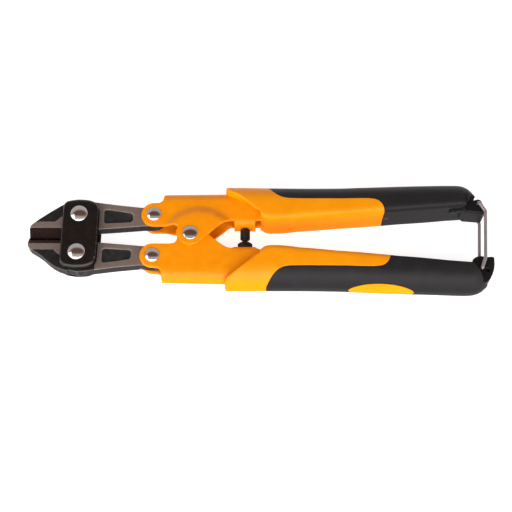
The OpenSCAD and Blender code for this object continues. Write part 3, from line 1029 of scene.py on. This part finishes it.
def grip_piece(name, loop, sign, holes=(), step=1.6, rim=0.3, lift=0.0, body_core=core):
    def out(x, w):
        (px, py, pz), (nx, ny, nz) = grip_point(x, w)
        return (px, py - ny * lift, pz - nz * lift)
    return skin(name, loop, list(holes), step, out, lambda x, w: grip_point(x, w)[1], body_core,
                rim=rim, seam=grip_seam, seg=4, sign=sign, rim_at=lambda a, b: 3.6 if max(a[0], b[0]) < 8.4 else 1.0)


FRONT = [(-7.2, 0.0), (-7.4, 2.1), (-7.5, 4.2), (-7.35, 6.4), (-6.3, 8.5), (-4.6, 10.1), (-2.5, 11.9), (1.9, 15.7),
         (6.2, 19.3)]
SOFT_END = {1: -0.7, -1: 1.1}            # the soft part starts a little later on the lower grip
SOFT_LINE = spline([(11.2, 0.0), (11.25, 1.8), (11.5, 3.6), (12.4, 6.0), (13.5, 8.3), (15.1, 10.6), (17.4, 12.5), (20.4, 13.5),
               (25.0, 13.75), (42, 13.9), (55, 14.2), (60.4, 14.55), (63.4, 15.6), (65.2, 17.7), (66.0, 20.6), (66.1, 24.0),
               (66.0, 27.0)], 4)
END = {1: [(108.25, 0.0), (108.35, 2.0), (108.35, 4.5), (107.9, 7.2), (106.2, 10.0), (104.8, 12.4), (103.9, 14.8),
           (103.2, 17.6), (102.8, 20.5), (102.7, 24.0)],
       -1: [(111.6, 0.0), (111.5, 1.4), (110.95, 2.9), (110.0, 4.7), (109.1, 7.0), (108.3, 9.6), (106.9, 13.2), (105.2, 16.0),
            (103.9, 18.2), (103.3, 20.6), (103.0, 24.0)]}
LENS_X, LENS_A, LENS_B = 63.2, 14.8, 5.95


def ends(pts, x):
    """The curve carried straight across the inner face to its mid-line."""
    w0, c = pts[-1][1], grip_w(x)[2]
    return pts + [(x, w0 + (c - w0) * k / 5) for k in range(1, 6)]


def lens(reverse):
    a = np.linspace(math.pi, 0, 49)
    pts = [(LENS_X + LENS_A * math.cos(t), LENS_B * math.sin(t)) for t in a]
    pts[0], pts[-1] = (LENS_X - LENS_A, 0.0), (LENS_X + LENS_A, 0.0)
    return pts[::-1] if reverse else pts


def soft_line(sign):
    """Boundary between sleeve and overmoulding, and the x where it crosses the inner face."""
    d = SOFT_END[sign]
    return [(x + d * smooth01((x - 46) / 14), w) for x, w in SOFT_LINE], 66.0 + d


def sleeve(sign, nm):
    SIDE[0] = sign
    SOFT, xe = soft_line(sign)
    nose = [(8.1, grip_w(8.1)[0] + 1.4), (8.35, grip_w(8.35)[1])]
    front = ends(spline(FRONT + nose, 4), 8.4)
    loop = front + inner_line(8.4, xe, 30)[1:-1] + ends(SOFT, xe)[::-1]
    return grip_piece(nm, loop, sign)


def overmould(sign, nm):
    SIDE[0] = sign
    SOFT, xe = soft_line(sign)
    back = [(x, 0.0) for x in np.linspace(SOFT[0][0], LENS_X - LENS_A, 20)]
    back2 = [(x, 0.0) for x in np.linspace(LENS_X + LENS_A, END[sign][0][0], 18)]
    end = ends(spline(END[sign], 4), END[sign][-1][0])
    loop = ends(SOFT, xe)[::-1] + back[1:-1] + lens(False) + back2[1:-1] + end + inner_line(end[-1][0], xe, 20)[1:-1]
    return grip_piece(nm, loop, sign)


def inlay(sign, nm):
    SIDE[0] = sign
    loop = lens(False) + [(x, 0.0) for x in np.linspace(LENS_X + LENS_A, LENS_X - LENS_A, 18)][1:-1]
    return grip_piece(nm, loop, sign, step=1.3)


for side, sg, body in (("upper", 1, "upper_handle"), ("lower", -1, "lower_handle")):
    put(sleeve(sg, side + "_sleeve_skin"), body, "sleeve_orange", side + "_grip_sleeve")
    put(overmould(sg, side + "_soft_skin"), body, "grip_black", side + "_grip_overmould")
    put(inlay(sg, side + "_inlay_skin"), body, "inlay_orange", side + "_palm_inlay")

# ------------------------------------------------------------------ latch
BAIL, TIP = (109.2, 16.4), (108.4, -16.3)


def block():
    pts = [(101.5, 13.4), (103.2, 11.85), (111.6, 11.2), (112.3, 11.9), (112.0, 13.1), (111.2, 17.1), (110.0, 18.25),
           (108.4, 18.35), (106.9, 17.9), (102.0, 17.0)]
    return skin("upper_block", fillet(pts, [0.3, 0.8, 0.6, 0.6, 0.5, 1.6, 1.2, 0.8, 0.3, 0.3]), [circle(BAIL, 0.88, 32)], 1.0,
                lambda x, y: (x, y, 5.8), lambda x, y: (0, 0, -1), lambda x, y: (x, y, 0.0), rim=0.9, seg=5)


def hook():
    pts = [(104.2, 13.4), (104.9, 11.5), (106.4, 10.45), (108.1, 9.95), (111.1, 10.5), (113.9, 10.3), (114.55, 10.8),
           (114.5, 13.6), (114.15, 16.1), (113.3, 18.6), (112.1, 21.0), (111.0, 22.4), (109.2, 23.4), (106.0, 20.5)]

    def z(x, y):
        d = math.hypot(x - TIP[0], y + TIP[1])
        return 5.8 - 0.7 * smooth01((1.5 - d) / 0.45)
    ring = [TIP[0] + 0j]
    c1 = circle((TIP[0], -TIP[1]), 1.5, 24)
    c2 = circle((TIP[0], -TIP[1]), 1.05, 24)
    return skin("lower_hook", fillet(pts, [0.3, 0.9, 0.8, 1.2, 1.5, 0.6, 0.6, 3, 3, 3, 3, 1.5, 0.8, 0.3]),
                [circle((111.0, 17.0), 0.9, 28)], 0.9,
                lambda x, y: (x, y, z(x, y)), lambda x, y: (0, 0, -1), lambda x, y: (x, y, 0.0), rim=0.5, seg=4,
                sign=-1, creases=[c1 + [c1[0]], c2 + [c2[0]]])


put(block(), "upper_handle", "latch_black", "upper_latch_block")
knob = [(0.0, 12.55), (1.35, 12.55), (1.7, 12.7), (1.85, 13.0), (1.85, 14.2), (0.0, 14.2)]
put(lathe("upper_knob", knob, (97.7, 0, 3.1), axis="y", n=40), "upper_handle", "latch_black")


def arm():
    """Flat arm of the latch block, let into the inner face of the grip."""
    pts = fillet([(98.6, 1.7), (103.0, 1.2), (103.0, 5.0), (98.6, 4.5)], 0.4)
    return skin("latch_arm", pts, [], 0.8, lambda x, z: (x, 12.9, z), lambda x, z: (0, 1, 0),
                lambda x, z: (x, 14.2, z), rim=0.3, bottom=True, both=False, seg=3)


put(arm(), "upper_handle", "latch_black")
foot = [(0.0, 12.05), (0.9, 12.05), (1.35, 12.3), (1.5, 12.8), (1.5, 14.0), (0.0, 14.0)]
put(lathe("latch_foot", foot, (104.9, 0, -4.6), axis="y", n=36), "upper_handle", "latch_black")
put(hook(), "lower_handle", "latch_black", "lower_latch_hook")

wz = 7.2
half_path = [(TIP[0], TIP[1], 6.85), (TIP[0], TIP[1], wz), (110.2, -11.4, wz), (111.9, 11.6, wz), (BAIL[0], BAIL[1], wz)]
path = half_path + [(x, y, -z) for x, y, z in reversed(half_path)]
bend = bend3(path, 1.6)
put(tube("bail_wire", bend, 0.8), "wire_bail", "wire_steel", "wire_bail")


# ------------------------------------------------------------------ stop screw and nut
def thread(name, y0, y1, r_maj, r_min, pitch, tip, root, origin, n=40):
    """Screw along +y with a helical groove, a root profile below and a rounded tip above."""
    rows = []
    for r, h in root:
        rows.append([(r, h)] * n)
    m = int((y1 - y0) / pitch * 10)
    for i in range(m + 1):
        h = y0 + (y1 - y0) * i / m
        row = []
        for k in range(n):
            ph = (h / pitch - k / n) % 1.0
            tri = 1 - abs(2 * ph - 1)
            env = min(1.0, (h - y0) / 0.3, (y1 - h) / 0.3)
            row.append((r_maj - (r_maj - r_min) * (1 - min(1, tri * 1.6)) * max(env, 0), h))
        rows.append(row)
    for r, h in tip:
        rows.append([(r, h)] * n)
    verts, faces = [], []
    for row in rows:
        verts += [(r * math.cos(2 * math.pi * k / n), h, r * math.sin(2 * math.pi * k / n)) for k, (r, h) in enumerate(row)]
    R = len(rows)
    for i in range(R - 1):
        for k in range(n):
            j = (k + 1) % n
            faces.append((i * n + k, i * n + j, (i + 1) * n + j, (i + 1) * n + k))
    verts.append((0, rows[0][0][1], 0))
    verts.append((0, rows[-1][0][1], 0))
    for k in range(n):
        j = (k + 1) % n
        faces.append((len(verts) - 2, j, k))
        faces.append((len(verts) - 1, (R - 1) * n + k, (R - 1) * n + j))
    v = np.array(verts, float) + np.array(origin, float)
    return new_object(name, world(v), faces)


tip = [(2.3 - 1.3 + 1.3 * math.cos(a), 3.6 + 1.3 * math.sin(a)) for a in np.linspace(0, math.pi / 2, 7)]
root = [(1.2, -12.0), (1.6, -11.6), (1.6, -1.9), (1.35, -1.5), (1.35, -0.9), (1.9, -0.55), (2.25, -0.25)]
put(thread("stop_bumper", -0.2, 3.5, 2.3, 2.02, 0.8, tip, root, (1.5, 0, 0)), "stop_screw", "screw_black", "stop_screw")


def nut(name, y0, t, af, r, origin):
    n = 72
    prof = [(0.0, 0.0, 1.0), (0.12, 0.25, 1.0), (0.0, t - 0.75, 0.0)]
    rows = []

    def hexr(a):
        a = (a + math.pi / 6) % (math.pi / 3) - math.pi / 6
        return af / 2 / math.cos(a)
    cone_lo = lambda h: af / 2 + 0.12 + h * 1.6
    cone_hi = lambda h: af / 2 - 0.55 + (t - h) * 1.1
    hs = [0.0, 0.12, 0.3, 0.6, t - 1.2, t - 0.9, t - 0.7, t - 0.5, t - 0.3, t - 0.12, t]
    rows.append([(r, 0.0)] * n)
    for h in hs:
        rows.append([(min(hexr(2 * math.pi * k / n), cone_lo(h), cone_hi(h)), h) for k in range(n)])
    rows.append([(r + 0.25, t)] * n)
    rows.append([(r, t - 0.2)] * n)
    verts, faces = [], []
    for row in rows:
        verts += [(rr * math.cos(2 * math.pi * k / n), h, rr * math.sin(2 * math.pi * k / n)) for k, (rr, h) in enumerate(row)]
    R = len(rows)
    for i in range(R):
        for k in range(n):
            j = (k + 1) % n
            i2 = (i + 1) % R
            faces.append((i * n + k, i * n + j, i2 * n + j, i2 * n + k))
    v = np.array(verts, float) + np.array(origin, float) + np.array([0, y0, 0])
    return new_object(name, world(v), faces)


put(nut("stop_nut", -5.2, 2.8, 6.8, 1.75, (1.5, 0, 0)), "lower_handle", "screw_black", "stop_locknut")

# ------------------------------------------------------------------ floor, lights, camera
sc = bpy.context.scene
sc.view_settings.view_transform = "Standard"
sc.view_settings.look = "None"
sc.view_settings.exposure = 0.0
sc.view_settings.gamma = 1.0


def floor():
    me = bpy.data.meshes.new("studio_floor")
    s, n = 2.5, 24
    v, f = [], []
    for j in range(n + 1):
        for i in range(n + 1):
            v.append((-s + 2 * s * i / n, -s + 2 * s * j / n, -0.00002))
    for j in range(n):
        for i in range(n):
            a = j * (n + 1) + i
            f.append((a, a + 1, a + n + 2, a + n + 1))
    me.from_pydata(v, [], f)
    ob = bpy.data.objects.new("studio_floor", me)
    sc.collection.objects.link(ob)
    m = Mat("studio_floor", rough=0.9, spec=0.1)
    m.b.inputs["Base Color"].default_value = (0.6, 0.6, 0.6, 1)
    m.b.inputs["Emission Color"].default_value = (1, 1, 1, 1)
    m.b.inputs["Emission Strength"].default_value = 0.8
    me.materials.append(m.m)


floor()

w = bpy.data.worlds.new("studio")
sc.world = w
w.use_nodes = True
wt = w.node_tree
bg = wt.nodes["Background"]
wtc = wt.nodes.new("ShaderNodeTexCoord")
squash = wt.nodes.new("ShaderNodeVectorMath")
squash.operation = "MULTIPLY"
squash.inputs[1].default_value = (0.38, 1.0, 1.0)
wt.links.new(wtc.outputs["Generated"], squash.inputs[0])
unit = wt.nodes.new("ShaderNodeVectorMath")
unit.operation = "NORMALIZE"
wt.links.new(squash.outputs[0], unit.inputs[0])
dot = wt.nodes.new("ShaderNodeVectorMath")
dot.operation = "DOT_PRODUCT"
dot.inputs[1].default_value = (0.0, 0.33, 0.944)
wt.links.new(unit.outputs[0], dot.inputs[0])
ramp = wt.nodes.new("ShaderNodeValToRGB")
el = ramp.color_ramp.elements
el[0].position, el[0].color = 0.86, (0.54, 0.51, 0.52, 1)
el[1].position, el[1].color = 0.955, (0.150, 0.086, 0.056, 1)
wt.links.new(dot.outputs["Value"], ramp.inputs["Fac"])
wt.links.new(ramp.outputs["Color"], bg.inputs["Color"])
bg.inputs["Strength"].default_value = 1.0


def light(name, loc, target, size, power, size_y=None, color=(1, 1, 1)):
    d = bpy.data.lights.new(name, "AREA")
    d.shape = "RECTANGLE" if size_y else "SQUARE"
    d.size = size
    if size_y:
        d.size_y = size_y
    d.energy = power
    d.color = color
    o = bpy.data.objects.new(name, d)
    sc.collection.objects.link(o)
    o.location = loc
    o.rotation_euler = (Vector(target) - Vector(loc)).to_track_quat("-Z", "Y").to_euler()
    return o


light("front_box", (0.0, -0.72, 0.52), (0, 0, 0), 1.8, 11.7, 0.9)
light("left_box", (-0.75, -0.1, 0.5), (0, 0, 0), 0.5, 1.6)

AZ, EL, ROLL, DIST, FPX, TX, TY = -0.299, 67.329, 0.611, 494.079, 1077.884, 6.56, -8.416
a, e, r0 = map(math.radians, (AZ, EL, ROLL))
back = np.array([math.sin(a) * math.cos(e), -math.cos(a) * math.cos(e), math.sin(e)])
right = np.array([math.cos(a), math.sin(a), 0.0])
up = np.cross(back, right)
rr = math.cos(r0) * right + math.sin(r0) * up
uu = -math.sin(r0) * right + math.cos(r0) * up
pos = world(np.array([TX, TY, 0.0]) + back * DIST)
cam = bpy.data.cameras.new("camera")
cam.sensor_width = 36.0
cam.lens = FPX / 512 * 36.0
cam.clip_start = 0.01
cam.clip_end = 20
co = bpy.data.objects.new("camera", cam)
sc.collection.objects.link(co)
M = Matrix(((rr[0], uu[0], back[0], pos[0]), (rr[1], uu[1], back[1], pos[1]), (rr[2], uu[2], back[2], pos[2]), (0, 0, 0, 1)))
co.matrix_world = M
sc.camera = co

bpy.context.view_layer.update()
